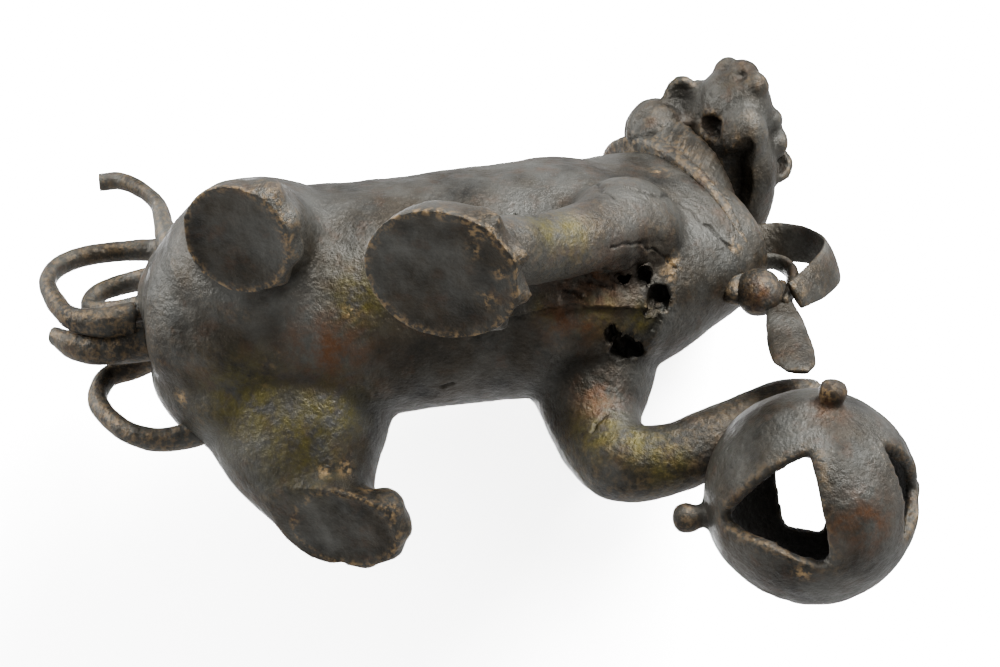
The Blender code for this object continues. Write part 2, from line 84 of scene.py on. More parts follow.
def sweepLimb(form, stations, steps=6, sides=24, flat=1.0, broadWay=None):
    # a tapered rod: x, y, z and radius in mm, thinned square to its broad way
    rows = easedStations(stations, steps)
    points = [at(*row[:3]) for row in rows]
    across = Vector(broadWay) if broadWay else Vector((0, 0, 1))
    matrices = []
    for i, point in enumerate(points):
        way = (points[min(i + 1, len(points) - 1)] - points[max(i - 1, 0)]).normalized()
        side = across - way * across.dot(way)
        if side.length < 0.2:
            side = way.orthogonal()
        side.normalize()
        if not broadWay:
            across = side
        radius = max(rows[i][3], 0.3) * mm
        matrices.append(axesMatrix(point, side, way.cross(side), way, (radius, radius * flat, radius)))
    return sweepRings(form, matrices, sides)


def addBall(form, centre, radii, axes=None, fineness=4):
    firstWay, secondWay, thirdWay = axes or (eastWay, Vector((0, 1, 0)), Vector((0, 0, 1)))
    scale = [radius * mm for radius in radii]
    bmesh.ops.create_icosphere(form, subdivisions=fineness, radius=1,
                               matrix=axesMatrix(centre, firstWay, secondWay, thirdWay, scale))


def asObject(form, name):
    if len(form.faces) > 1:
        bmesh.ops.recalc_face_normals(form, faces=form.faces)
        if form.calc_volume(signed=True) < 0:
            bmesh.ops.reverse_faces(form, faces=form.faces)
    mesh = bpy.data.meshes.new(name)
    form.to_mesh(mesh)
    form.free()
    made = bpy.data.objects.new(name, mesh)
    bpy.context.scene.collection.objects.link(made)
    return made


def readVectors(source, key):
    values = np.empty(len(source) * 3)
    source.foreach_get(key, values)
    return values.reshape(-1, 3)


def settled(made):
    # the object's mesh as its modifiers leave it
    graph = bpy.context.evaluated_depsgraph_get()
    mesh = bpy.data.meshes.new_from_object(made.evaluated_get(graph))
    made.modifiers.clear()
    made.data = mesh
    return made


def melted(form, name, voxel, rounds):
    # overlapping forms become one skin, as wax does under a warm tool
    made = asObject(form, name)
    skin = made.modifiers.new("skin", "REMESH")
    skin.mode = "VOXEL"
    skin.voxel_size = voxel * mm
    ease = made.modifiers.new("ease", "SMOOTH")
    ease.factor = 0.5
    ease.iterations = rounds
    return settled(made)


def cutFrom(made, form, name):
    cutter = asObject(form, name)
    cut = made.modifiers.new(name, "BOOLEAN")
    cut.operation = "DIFFERENCE"
    cut.solver = "EXACT"
    cut.use_self = True
    cut.object = cutter
    settled(made)
    bpy.data.objects.remove(cutter)
    return made


# the body

torsoLook = {
    # y, z, half width and half depth from the rump to the neck
    "stations": ((35.5, 27, 6, 6), (31, 27.5, 15, 15), (21, 28, 21.5, 21), (8, 31, 23, 22),
                 (-8, 38, 22, 22.5), (-25, 46, 21.5, 23.5), (-38, 52, 21.5, 24.5), (-46, 58.5, 20, 25),
                 (-51, 65, 17, 24.3), (-55.5, 72, 15, 23), (-58, 77, 13.5, 20), (-60, 81, 9, 12)),
    "broadest": 23,
    "spineLean": 2.6,
    # place along the back, length and height of each flame on the spine
    "flames": ((14, 5, 2.6), (5, 6, 2.8), (-5, 8, 3.4), (-16, 7, 3), (-31, 13, 5.5)),
    "flameThickness": 1.5,
    "flameOut": 0.9,
    "flameLean": 0.44,
    # x, y, z and radius of the holes that the casting left in the breast
    "castingHoles": ((-10.8, -55.6, 40, 1.7), (-10, -58.5, 41.5, 1.6), (-5.3, -61.2, 39.6, 2.9),
                     (2.7, -55.8, 35, 3.0), (-1, -54, 34, 1.8), (3.5, -57.5, 37.5, 2.2)),
    "holeRaggedness": 0.9,
    "raggedLength": 2.2,
    "raggedSeed": 4,
    "voxel": 1.0,
}
limbLook = {
    "haunches": (((10, 14, 27), (17, 21, 21)), ((-11, 12, 28), (16, 19, 19))),
    "rightHind": ((-12, 14, 30, 15), (-20, 10, 22, 12), (-28, 7, 13, 9.5), (-34, 4.5, 4, 8.5),
                  (-35, 4, -1, 8)),
    "leftHind": ((9, 11, 30, 21.5), (15, 6, 23, 20), (21, 1, 14, 15.5), (25.5, -4.5, 6, 10),
                 (26.5, -9, -1, 8.5)),
    "rightFore": ((-4, -54, 58, 6), (-13, -53, 50, 10.5), (-20, -50, 36, 7), (-24, -44, 24, 6.3),
                  (-29, -38, 12, 7), (-31, -35, -1, 8)),
    "leftFore": ((3, -46, 52, 7), (12, -47.5, 42, 12.5), (18, -51, 31, 9), (20, -57.5, 23.5, 7.8),
                 (19.5, -67, 25, 6.6), (17.5, -77, 33.5, 6.2), (15, -86, 39.5, 5.6), (13.5, -92.5, 41.5, 3.8)),
    "tailRoot": ((0, 30, 33, 10), (1, 36, 33, 8.5), (1, 39, 33, 5)),
}
footLook = {
    # centre x, y, half sizes across and along, height, heading of the toes in degrees
    "soles": ((-34.5, 4, 11, 10, 10, 0), (26.5, -11, 8.5, 10.5, 9, 20), (-32, -33.5, 13, 14, 12, 0)),
    "levels": ((-0.1, 1.0), (0, 1.0), (0.45, 0.9), (0.8, 0.68), (1, 0.4)),
    "toes": 4,
    "fan": 34,
    "toeSetIn": 0.74,
    "toeRise": 3.4,
    "clawReach": 0.4,
    "clawRise": 2.9,
    "toeRadii": (4.2, 4.2, 4.6),
    "clawRadii": (1.5, 1.8, 1.7),
}


def addTorso(form):
    rows = easedStations(torsoLook["stations"], 4)
    matrices = []
    for i, (y, z, halfWidth, halfDepth) in enumerate(rows):
        after, before = rows[min(i + 1, len(rows) - 1)], rows[max(i - 1, 0)]
        way = Vector((0, after[0] - before[0], after[1] - before[1])).normalized()
        upward = way.cross(eastWay)
        matrices.append(axesMatrix(at(0, y, z), eastWay, upward, way, (halfWidth * mm, halfDepth * mm, mm)))
    rings = sweepRings(form, matrices, 48)
    for matrix, ring in zip(matrices, rings):
        back = matrix.inverted()
        lean = torsoLook["spineLean"] / torsoLook["broadest"] * matrix.col[0].to_3d().length
        for vert in ring:
            lift = max((back @ vert.co).y, 0)
            vert.co.x -= lean * lift * lift
    return rows


def addFlames(form, rows):
    for place, length, height in torsoLook["flames"]:
        i = min(range(1, len(rows) - 1), key=lambda k: abs(rows[k][0] - place))
        y, z, halfWidth, halfDepth = rows[i]
        way = Vector((0, rows[i + 1][0] - rows[i - 1][0], rows[i + 1][1] - rows[i - 1][1])).normalized()
        upward = way.cross(eastWay)
        out = (upward * torsoLook["flameOut"] - eastWay * torsoLook["flameLean"]).normalized()
        lean = torsoLook["spineLean"] * halfWidth / torsoLook["broadest"]
        seat = at(-lean, y, z) + upward * halfDepth * mm
        addBall(form, seat, (length, height, torsoLook["flameThickness"]), (way, out, way.cross(out)), 3)


def toeWays(heading):
    middleToe = (footLook["toes"] - 1) / 2
    turns = [math.radians(heading + footLook["fan"] * (i - middleToe)) for i in range(footLook["toes"])]
    return [Vector((math.sin(turn), -math.cos(turn), 0)) for turn in turns]


def addFoot(form, x, y, across, along, height, heading):
    matrices = [axesMatrix(at(x, y, height * rise), eastWay, Vector((0, 1, 0)), Vector((0, 0, 1)),
                           (across * swell * mm, along * swell * mm, mm)) for rise, swell in footLook["levels"]]
    sweepRings(form, matrices, 40)
    setIn, reach = footLook["toeSetIn"], footLook["clawReach"]
    for way in toeWays(heading):
        toe = at(x + across * setIn * way.x, y + along * setIn * way.y, footLook["toeRise"])
        addBall(form, toe, footLook["toeRadii"], None, 3)
        nail = at(x + (across + reach) * way.x, y + (along + reach) * way.y, footLook["clawRise"])
        axes = (way, Vector((0, 0, 1)).cross(way), Vector((0, 0, 1)))
        addBall(form, nail, footLook["clawRadii"], axes, 3)


# the head

headLook = {
    "centre": (-3, -64, 93),
    "faceWay": Vector((-0.975, -0.1, 0.2)).normalized(),
    "neckWay": Vector((0, -0.652, 0.758)),
    # forward, up, to the left, and three radii
    "middle": ((-1, -2.5, 0, 18, 8.8, 13), (-10, -3, 0, 10, 8, 11), (13, -2, 0, 9, 7, 9),
               (19.5, -1, 0, 4, 3.4, 4), (4, 4.2, 0, 4.5, 2.8, 4.5), (-3, 3.8, 0, 4.5, 2.8, 5),
               (-10, 2.4, 0, 4.5, 2.8, 5)),
    "pairs": ((19.2, -1.5, 4.4, 3.4, 3, 3), (11, -5, 7.5, 6, 4.5, 5), (8, 4, 5.5, 3.6, 2.6, 4.6),
              (12.6, 2.8, 5.8, 2.6, 2.4, 2.6)),
    "napeCurls": 6,
    "napeRing": (-14, -3, 4.4, 7),  # forward, up, and the half height and half width of the ring of curls
    "napeRadii": (6.5, 4, 4.4),
    # the mane's thick side behind the right ear
    "maneSide": (((-13, -49, 89), (6, 6, 7)), ((-12, -52, 96), (4, 5, 6))),
    "voxel": 0.6,
    # centre, radii and the way the skin is pressed, forward, up and to the left
    "dents": (
        (3, -7.2, 12, 9, 2.4, 7, 0, 1, 0),  # under the left jaw
        (11.0, -8, 2, 2.3, 2.6, 3.2, 0, 1, 0),  # the open corner of the mouth
        (21.8, -4.4, 2.7, 1.5, 2.0, 1.5, 0, 1, 0),  # nostrils
        (21.4, -4.4, -2.5, 1.0, 1.6, 1.1, 0, 1, 0),
        (15.8, -6.9, 0, 0.5, 0.8, 5, 0, 1, 0),  # the crease of the lips
    ),
    # strands on the mane: middle of the thick side, reach and height
    "neckMiddle": (-1, -56, 80),
    "strandPlace": (-13, -49, 89),
    "strandReach": 8.5,
    "strandRise": 0.45,
}
headCentre = at(*headLook["centre"])
faceWay = headLook["faceWay"]
neckWay = headLook["neckWay"]
crownWay = (neckWay - faceWay * neckWay.dot(faceWay)).normalized()
leftWay = crownWay.cross(faceWay)
headAxes = (faceWay, crownWay, leftWay)


def onHead(forward, up, left):
    return headCentre + (faceWay * forward + crownWay * up + leftWay * left) * mm


def addHead(form):
    forms = list(headLook["middle"])
    for forward, up, left, *radii in headLook["pairs"]:
        forms += [(forward, up, -left, *radii), (forward, up, left, *radii)]
    back, middleUp, halfHeight, halfWidth = headLook["napeRing"]
    for i in range(headLook["napeCurls"]):
        turn = 2 * math.pi * i / headLook["napeCurls"]
        place = (back, halfHeight * math.cos(turn) + middleUp, halfWidth * math.sin(turn))
        forms.append((*place, *headLook["napeRadii"]))
    for forward, up, left, *radii in forms:
        addBall(form, onHead(forward, up, left), radii, headAxes)
    for place, radii in headLook["maneSide"]:
        addBall(form, at(*place), radii)


def pressIn(mesh, forward, up, left, length, height, width, *way):
    # the skin inside an egg shape is pressed to its far side
    axes = np.array(headAxes)
    radii = np.array((length, height, width))
    way = np.array(way) / np.linalg.norm(way)
    places = readVectors(mesh.vertices, "co") - np.array(onHead(forward, up, left))
    inside = places @ axes.T / mm / radii
    step = way / radii
    b, c = 2 * inside @ step, np.sum(inside ** 2, axis=1) - 1
    travel = (-b + np.sqrt(np.maximum(b * b - 4 * step @ step * c, 0))) / (2 * step @ step)
    places += np.where(c < 0, travel, 0)[:, None] * (way @ axes) * mm
    mesh.vertices.foreach_set("co", (places + np.array(onHead(forward, up, left))).ravel())
    mesh.update()


ruffLook = {
    "collar": (-56, 76, 16.3, 24.6),
    "collarWidth": 2.6,
    "collarRise": 1.0,
    # place across the band and share of the rise that is lost there
    "collarProfile": ((-0.5, 1), (-0.42, 0.35), (-0.28, 0), (0.28, 0), (0.42, 0.35), (0.5, 1)),
    # y, z, half sizes across and along, from the collar to the rim under the jaw
    "stations": ((-55.5, 76, 14.6, 22.5), (-55.8, 81, 15.5, 20.3), (-56.2, 86, 15, 17.4),
                 (-56.8, 87, 12.6, 15.5)),
    "strands": 76,
    "strandRise": 0.34,
    "strandSeat": 0.2,
    "strandWander": 0.35,
    "unevenness": 0.35,
    "sides": 304,
}


def addRuff(form):
    along = neckWay.cross(eastWay)
    matrices = [axesMatrix(at(-1, y, z), eastWay, along, neckWay, (halfWidth * mm, halfDepth * mm, mm))
                for y, z, halfWidth, halfDepth in easedStations(ruffLook["stations"], 5)]
    for i, ring in enumerate(sweepRings(form, matrices, ruffLook["sides"])):
        middle = sum((vert.co for vert in ring), Vector()) / len(ring)
        for vert in ring:
            out = vert.co - middle
            turn = math.atan2(out.dot(along), out.x)
            aroundNeck = Vector((math.cos(turn) * 3, math.sin(turn) * 3, i * 0.12))
            wander = ruffLook["strandWander"] * noise.noise(aroundNeck)
            strand = abs(math.sin((turn + wander * 0.12) * ruffLook["strands"] / 2))
            broad = noise.noise(Vector((math.cos(turn) * 9, math.sin(turn) * 9, i * 0.05)))
            rise = ruffLook["strandRise"] * strand ** 0.6 - ruffLook["strandSeat"]
            vert.co += out.normalized() * (rise + ruffLook["unevenness"] * broad) * mm


def addCollar(form):
    along = neckWay.cross(eastWay)
    y, z, halfWidth, halfDepth = ruffLook["collar"]
    matrices = []
    for step, drop in ruffLook["collarProfile"]:
        fall = ruffLook["collarRise"] * drop
        matrices.append(axesMatrix(at(0, y, z) + neckWay * ruffLook["collarWidth"] * step * mm, eastWay, along,
                                   neckWay, ((halfWidth - fall) * mm, (halfDepth - fall) * mm, mm)))
    sweepRings(form, matrices, 160)


earLook = {
    # root, tip and hollow side
    "right": ((-14.8, -54.6, 89.9), (-21.0, -53.2, 95.2), (-0.55, -0.26, -0.79)),
    "left": ((-3.7, -71.1, 90.4), (-6.4, -73, 95.8), (-0.8, -0.3, -0.4)),
    "halfWidth": 4.0,
    "halfThickness": 1.7,
    "sunkIn": 1.2,
    # length, width, thickness and rise of the scoop as shares of the ear's
    "scoop": (0.78, 0.72, 1.3, 1.1),
}


def makeEar(root, tip, hollowWay):
    foot, end = at(*root), at(*tip)
    longWay = (end - foot).normalized()
    normal = Vector(hollowWay)
    normal = (normal - longWay * normal.dot(longWay)).normalized()
    axes = (longWay, longWay.cross(normal), normal)
    half = (end - foot).length / 2 / mm + earLook["sunkIn"]
    halfWidth, halfThickness = earLook["halfWidth"], earLook["halfThickness"]
    blade = bmesh.new()
    addBall(blade, (foot + end) / 2, (half, halfWidth, halfThickness), axes)
    scoop = bmesh.new()
    scoopLong, scoopWide, scoopThick, scoopRise = earLook["scoop"]
    addBall(scoop, (foot + end) / 2 + normal * halfThickness * scoopRise * mm,
            (half * scoopLong, halfWidth * scoopWide, halfThickness * scoopThick), axes)
    return cutFrom(asObject(blade, "ear"), scoop, "scoop")


# ribbon, bell and tail

ribbonLook = {
    "width": 8.5,
    "thickness": 1.9,
    "loopFlatness": 0.55,
    "broadWays": {"upper": (-0.75, 0.45, 0.4), "loop": (1, 0.1, 0.1), "tongue": (0.1, -1, 0.1)},
    # x, y, z and the share of the half width
    "upper": ((3, -69, 76, 0.8), (4, -75.5, 79, 0.9), (3, -82.5, 77.5, 0.9), (1.8, -88.0, 71.5, 0.9),
              (1.2, -87.5, 64, 0.85), (0.5, -84, 55.5, 0.66)),
    "loop": ((1, -71, 64, 0.45), (2, -76.5, 69, 0.45), (2.5, -81, 67, 0.45), (2.2, -82.4, 60, 0.45),
             (2, -82.2, 54, 0.4)),
    "tongue": ((1.8, -79.5, 62, 0.33), (1.8, -81.5, 55, 0.56), (1.8, -83.5, 48.5, 0.87),
               (1.8, -86, 41, 1.0), (1.8, -88, 35.5, 0.92), (1.8, -89, 32.5, 0.52)),
}


def addRibbons(form):
    halfWidth = ribbonLook["width"] / 2
    flat = ribbonLook["thickness"] / ribbonLook["width"]
    straps = (("upper", flat), ("loop", ribbonLook["loopFlatness"]), ("tongue", flat))
    for name, thinness in straps:
        rows = [(x, y, z, share * halfWidth) for x, y, z, share in ribbonLook[name]]
        sweepLimb(form, rows, 9, 28, thinness, ribbonLook["broadWays"][name])


bellLook = {
    "place": (0, -77.4, 54.6),
    "radius": 4.6,
    "loopPlace": (0, -72.8, 55),
    "loopRadii": (2.8, 2.8, 4.2),
}


def addBell(form):
    addBall(form, at(*bellLook["place"]), (bellLook["radius"],) * 3)
    addBall(form, at(*bellLook["loopPlace"]), bellLook["loopRadii"], None, 3)


tailLook = {
    "stoutness": 1.25,
    "flatness": 0.8,
    "tendrils": (
        ((-3, 34, 38, 3.4), (-5, 38.5, 44, 2.2), (-6, 43.4, 52.2, 1.6), (-6, 48.6, 57.1, 1.5),
         (-6, 54.7, 59.9, 1.5), (-6, 58.6, 58.7, 1.4)),
        ((-2, 36, 40, 3.0), (0, 41.5, 45.6, 2.0), (0, 50.2, 43.2, 1.7), (0, 56.4, 39.2, 1.7),
         (0, 58.8, 33.8, 1.7), (0, 56.9, 27.6, 1.7), (0, 49.4, 19.6, 2.0), (0, 42.8, 18.6, 2.3),
         (1, 37, 22, 3.0)),
        ((0, 36, 36, 2.6), (3, 44, 38, 1.8), (4, 50, 34, 1.7), (4, 49, 28, 1.7), (3, 42, 27, 2.2),
         (2, 37, 28, 2.4)),
        ((5, 34, 22, 3.4), (6, 41, 19.2, 2.8), (6, 48, 18.6, 2.5), (6, 53.8, 21.0, 1.6)),
        ((10, 34, 26, 2.6), (13, 39, 23.5, 2.0), (14, 43.6, 20.5, 1.8), (15, 42.6, 13.5, 1.8),
         (16, 35.0, 7.6, 1.8), (17, 28.4, 7.2, 2.0), (17, 22.5, 10, 2.2), (16, 17, 15, 2.2)),
    ),
}


def addTail(form):
    for tendril in tailLook["tendrils"]:
        rows = [(x, y, z, radius * tailLook["stoutness"]) for x, y, z, radius in tendril]
        sweepLimb(form, rows, 8, 18, tailLook["flatness"], (1, 0, 0))


# the openwork ball

ballLook = {
    "place": (19.5, -94.5),
    "radius": 19.6,
    "wall": 2.6,
    "restFlat": 0.4,
    # corners of the openings between the bands, as ways out of the ball
    "openings": (
        ((-0.88, -0.07, -0.47), (-0.11, 0.73, -0.68), (-0.12, 0.21, -0.97), (0.09, -0.37, -0.92)),
        ((-0.76, -0.64, -0.05), (0.12, -0.92, -0.37), (0.02, -0.93, 0.36)),
        ((0.17, 0.54, 0.82), (0.25, -0.1, 0.96), (0.85, -0.01, 0.53), (0.8, 0.37, 0.48)),
        ((0.48, 0.64, -0.6), (0.76, 0.01, -0.65), (0.82, 0.55, 0.13)),
        ((-0.55, 0.78, 0.3), (-0.05, 0.99, -0.05), (0.3, 0.9, 0.3)),
        ((0.68, -0.73, 0.08), (0.97, -0.22, -0.03), (0.66, -0.41, 0.63)),
    ),
    # way and height of each knob
    "knobs": (((-0.98, -0.14, 0.13), 4.6), ((0.06, 0.91, -0.41), 6.0), ((0.2, -0.79, 0.57), 1.9)),
    "knobShape": ((0, 0.75), (0.35, 0.7), (0.5, 0.9), (0.65, 1.0), (0.85, 0.9), (0.96, 0.6), (1, 0.3)),
    "knobHalf": 2.9,
    "voxel": 0.8,
    # how far in and out the openings are cut, as shares of the radius
    "cutFrom": 0.55,
    "cutTo": 1.3,
}
ballCentre = at(*ballLook["place"], ballLook["radius"] - ballLook["restFlat"])


def makeBall():
    radius, wall = ballLook["radius"], ballLook["wall"]
    shell = bmesh.new()
    addBall(shell, ballCentre, (radius,) * 3, None, 5)
    cutter = bmesh.new()
    addBall(cutter, ballCentre, (radius - wall,) * 3, None, 4)
    ball = cutFrom(asObject(shell, "ball"), cutter, "hollow")
    for corners in ballLook["openings"]:
        opening = bmesh.new()
        outline = []
        for start, end in zip(corners, corners[1:] + corners[:1]):
            side = Vector(start), Vector(end)
            outline += [side[0].lerp(side[1], t).normalized() for t in np.arange(12) / 12]
        inner = [opening.verts.new(ballCentre + way * radius * ballLook["cutFrom"] * mm) for way in outline]
        grown = bmesh.ops.extrude_face_region(opening, geom=[opening.faces.new(inner)])["geom"]
        for vert in grown:
            if isinstance(vert, bmesh.types.BMVert):
                vert.co = ballCentre + (vert.co - ballCentre) * (ballLook["cutTo"] / ballLook["cutFrom"])
        cutFrom(ball, opening, "opening")
    form = bmesh.new()
    form.from_mesh(ball.data)
    bpy.data.objects.remove(ball)
    for way, knobHeight in ballLook["knobs"]:
        way = Vector(way).normalized()
        side = way.orthogonal().normalized()
        matrices = []
        for rise, swell in ballLook["knobShape"]:
            height = radius - wall / 2 + rise * (knobHeight + wall / 2)
            half = ballLook["knobHalf"] * swell * mm
            place = ballCentre + way * height * mm
            matrices.append(axesMatrix(place, side, way.cross(side), way, (half, half, mm)))
        sweepRings(form, matrices, 24)
    return melted(form, "ball", ballLook["voxel"], 2)


# casting it together

print("melting the body")
form = bmesh.new()
rows = addTorso(form)
for centre, radii in limbLook["haunches"]:
    addBall(form, at(*centre), radii)
for name in ("rightHind", "leftHind", "rightFore", "leftFore", "tailRoot"):
    sweepLimb(form, limbLook[name])
for sole in footLook["soles"]:
    addFoot(form, *sole)
addFlames(form, rows)
body = melted(form, "body", torsoLook["voxel"], 3)
holes = bmesh.new()
for x, y, z, radius in torsoLook["castingHoles"]:
    addBall(holes, at(x, y, z), (radius, radius * 0.8, radius * 1.8), None, 4)
noise.seed_set(torsoLook["raggedSeed"])  # the same torn rims each time
for vert in holes.verts:  # torn, not drilled
    vert.co += noise.noise_vector(vert.co / (torsoLook["raggedLength"] * mm)) * torsoLook["holeRaggedness"] * mm
cutFrom(body, holes, "holes")

print("melting the head")
form = bmesh.new()
addHead(form)
for name in ("right", "left"):
    ear = makeEar(*earLook[name])
    form.from_mesh(ear.data)
    bpy.data.objects.remove(ear)
head = melted(form, "head", headLook["voxel"], 3)
for dent in headLook["dents"]:
    pressIn(head.data, *dent)

print("melting the ball")
ball = makeBall()

print("laying on ruff, collar, ribbon, bell and tail")
trim = bmesh.new()
addRuff(trim)
addCollar(trim)
addRibbons(trim)
addBell(trim)
addTail(trim)
bmesh.ops.recalc_face_normals(trim, faces=trim.faces)

lionForm = bmesh.new()
for part in (body, head, ball):
    lionForm.from_mesh(part.data)
    bpy.data.objects.remove(part)
trimMesh = bpy.data.meshes.new("trim")
trim.to_mesh(trimMesh)
trim.free()
lionForm.from_mesh(trimMesh)


# flaws of the casting

flawLook = {
    # places on the skin in mm: the long cracks of breast and shoulder, the wrinkles of the sunken breast
    "cracks": (
        ((-20.4, -46.3, 53.6), (-25.4, -50.8, 43.4), (-25.5, -53, 40.8)),
        ((-24.2, -54.1, 46.8), (-23.6, -56.6, 47.2), (-21.4, -58.7, 50), (-15.8, -59.5, 58.3),
         (-14.1, -62.1, 59.4), (-12.8, -64.6, 58.4), (-11, -67.2, 57.9), (-8.8, -69.6, 57.5),
         (-6.7, -71.7, 57.5)),
        ((-21.2, -55.2, 31.7), (-20.7, -56.2, 33.7), (-18.6, -58.4, 38), (-14, -61.3, 43.4),
         (-9.4, -63.4, 45.5)),
        ((-16.4, -53.6, 31.5), (-9.3, -54.2, 36.4)),
        ((-10.7, -45.8, 32.5), (-8.9, -49, 32.9)),
        ((-11.3, -49.9, 34.8), (-9.5, -53.5, 36)),
        ((7.2, -24.4, 22), (6.3, -26.1, 22.4)),
        ((-20, -34.3, 40.9), (-30.5, -45.6, 19.4)),
        ((13, -53, 21.8), (9.5, -56, 27), (9, -60, 31)),
    ),
    "scratches": (((2.5, 5.7, 9), (-4.8, 2.5, 10.3)), ((1.5, 7, 8.9), (-3.4, 4.6, 9.6))),
    "crackWander": 0.9,
    "crackWidth": 0.5,
    "crackDepth": 0.5,
    # the torn edge of the skin that lies over the sunken breast
    "tear": ((-6.8, -37.7, 27.2), (-7.5, -40.5, 28.5), (-7.8, -43, 29.6), (-8, -46.9, 31.4),
             (-7.1, -50.8, 33), (-6.3, -54.5, 35), (-5, -57.9, 37), (-2.7, -60.1, 40.2),
             (-1.5, -61.5, 39.1), (0.1, -60.9, 38.4)),
    "tearRise": 0.6,
    "tearFade": 2.6,
    "tearWander": 0.5,
    "hollowLine": ((-11, -47, 31), (-13.3, -52.1, 34.1), (-13.9, -58.4, 39)),
    "hollowReach": 5.5,
    "hollowDepth": 0.7,
    "hollowLumps": 0.7,
    "hollowPits": (0.35, 1.1),
    "soleDepth": 0.4,
    "soleEdge": 0.9,  # where the hollow begins, as a share of the way out to the sole's edge
    "rimMiddle": 0.97,
    "scratchDepth": 0.12,
    "scratchWidth": 0.3,
    "wanderLength": 2.6,
    "holes": ((-13.3, -56.7, 36.8), (-9.7, -60.4, 42), (-3.9, -59.4, 41.8), (-2.7, -61.7, 41.5),
              (4.8, -54.1, 35.3), (4.8, -56, 39), (-0.3, -51.5, 31.7), (3.8, -53.7, 37)),
    # reach of each round of finer facets, and the shortest edge that is still cut
    "fineReaches": (2.1, 1.2),
    "fineEdge": 0.35,
    # length of the swells left by the wax tool and their height
    "swells": ((11.0, 0.3), (4.5, 0.16), (2.3, 0.09)),
}


def reachTo(places, lines, outward=None):
    # distance from each place to the nearest of some lines, along the skin where its way out is known
    best = np.full(len(places), 99.0)
    for line in lines:
        for start, end in zip(line, line[1:] or line):
            start, end = np.array(start, float), np.array(end, float)
            way = end - start
            t = np.clip((places - start) @ way / max(way @ way, 1e-9), 0, 1)
            off = places - start - t[:, None] * way
            reach = np.linalg.norm(off, axis=1)
            if outward is not None:
                deep = np.abs(np.sum(off * outward, axis=1))
                reach = np.where(deep < 3, np.sqrt(np.maximum(reach ** 2 - deep ** 2, 0)), reach)
            best = np.minimum(best, reach)
    return best


def inFigure(vectors):
    return (np.array(vectors) - np.array(lionPlace)) / mm


def noiseAt(places, size, seed=0.0):
    return np.array([noise.noise(Vector(place / size) + Vector((seed, seed, seed))) for place in places])


# finer facets where cracks, tears and holes need them
fineLines = flawLook["cracks"] + (flawLook["tear"],) + tuple((place, place) for place in flawLook["holes"])
for reach in flawLook["fineReaches"]:
    lionForm.verts.ensure_lookup_table()
    near = reachTo(inFigure([vert.co for vert in lionForm.verts]), fineLines) < reach
    lionForm.verts.index_update()
    chosen = [edge for edge in lionForm.edges if near[edge.verts[0].index] and near[edge.verts[1].index]
              and edge.calc_length() > flawLook["fineEdge"] * mm]
    bmesh.ops.subdivide_edges(lionForm, edges=chosen, cuts=1, use_grid_fill=True)
bmesh.ops.triangulate(lionForm, faces=[face for face in lionForm.faces if len(face.verts) > 4])

mesh = bpy.data.meshes.new("lion_casting")
lionForm.to_mesh(mesh)
lionForm.free()


count = len(mesh.vertices)
places = inFigure(readVectors(mesh.vertices, "co"))
outward = readVectors(mesh.vertices, "normal")
print("vertices", count, "triangles", sum(len(face.vertices) - 2 for face in mesh.polygons))

print("working the flaws")
rise = np.zeros(count)
for i, (size, height) in enumerate(flawLook["swells"]):
    rise += height * noiseAt(places, size, 7.3 * i)
wander = np.stack([noiseAt(places, flawLook["wanderLength"], 3.1 * axis + 20) for axis in range(3)], axis=1)
crack = reachTo(places + flawLook["crackWander"] * wander, flawLook["cracks"], outward)
crackDepth = np.clip(1 - crack / (flawLook["crackWidth"] * (1 + wander[:, 0])), 0, 1) ** 0.7
scratch = np.clip(1 - reachTo(places, flawLook["scratches"], outward) / flawLook["scratchWidth"], 0, 1)
rise -= flawLook["crackDepth"] * crackDepth + flawLook["scratchDepth"] * scratch
# strands on the mane's thick side, which run as those of the ruff do
ruffAlong = np.array(neckWay.cross(eastWay))
aroundNeck = places - np.array(headLook["neckMiddle"])
turn = np.arctan2(aroundNeck @ ruffAlong, aroundNeck[:, 0]) + 0.05 * wander[:, 0]
strandReach = np.linalg.norm(places - np.array(headLook["strandPlace"]), axis=1) / headLook["strandReach"]
strand = np.abs(np.sin(turn * ruffLook["strands"] / 3)) ** 0.7 - 0.6
rise += headLook["strandRise"] * np.exp(-strandReach ** 6) * strand
# the sunken breast, rough, and the torn skin that overhangs it
sunken = np.exp(-(reachTo(places, (flawLook["hollowLine"],)) / flawLook["hollowReach"]) ** 4)
pitDepth, pitLength = flawLook["hollowPits"]
roughness = flawLook["hollowLumps"] * wander[:, 1] + pitDepth * noiseAt(places, pitLength)
rise -= sunken * (flawLook["hollowDepth"] + roughness)
torn = places + flawLook["tearWander"] * wander
tearReach = reachTo(torn, (flawLook["tear"],), outward)
side = np.zeros(count)
best = np.full(count, 99.0)
for start, end in zip(flawLook["tear"], flawLook["tear"][1:]):
    start, end = np.array(start), np.array(end)
    reach = reachTo(torn, ((start, end),), outward)
    over = np.sum((torn - start) * np.cross(outward, end - start), axis=1)
    side = np.where(reach < best, np.sign(over), side)
    best = np.minimum(best, reach)
rise += flawLook["tearRise"] * side * np.exp(-tearReach / flawLook["tearFade"])
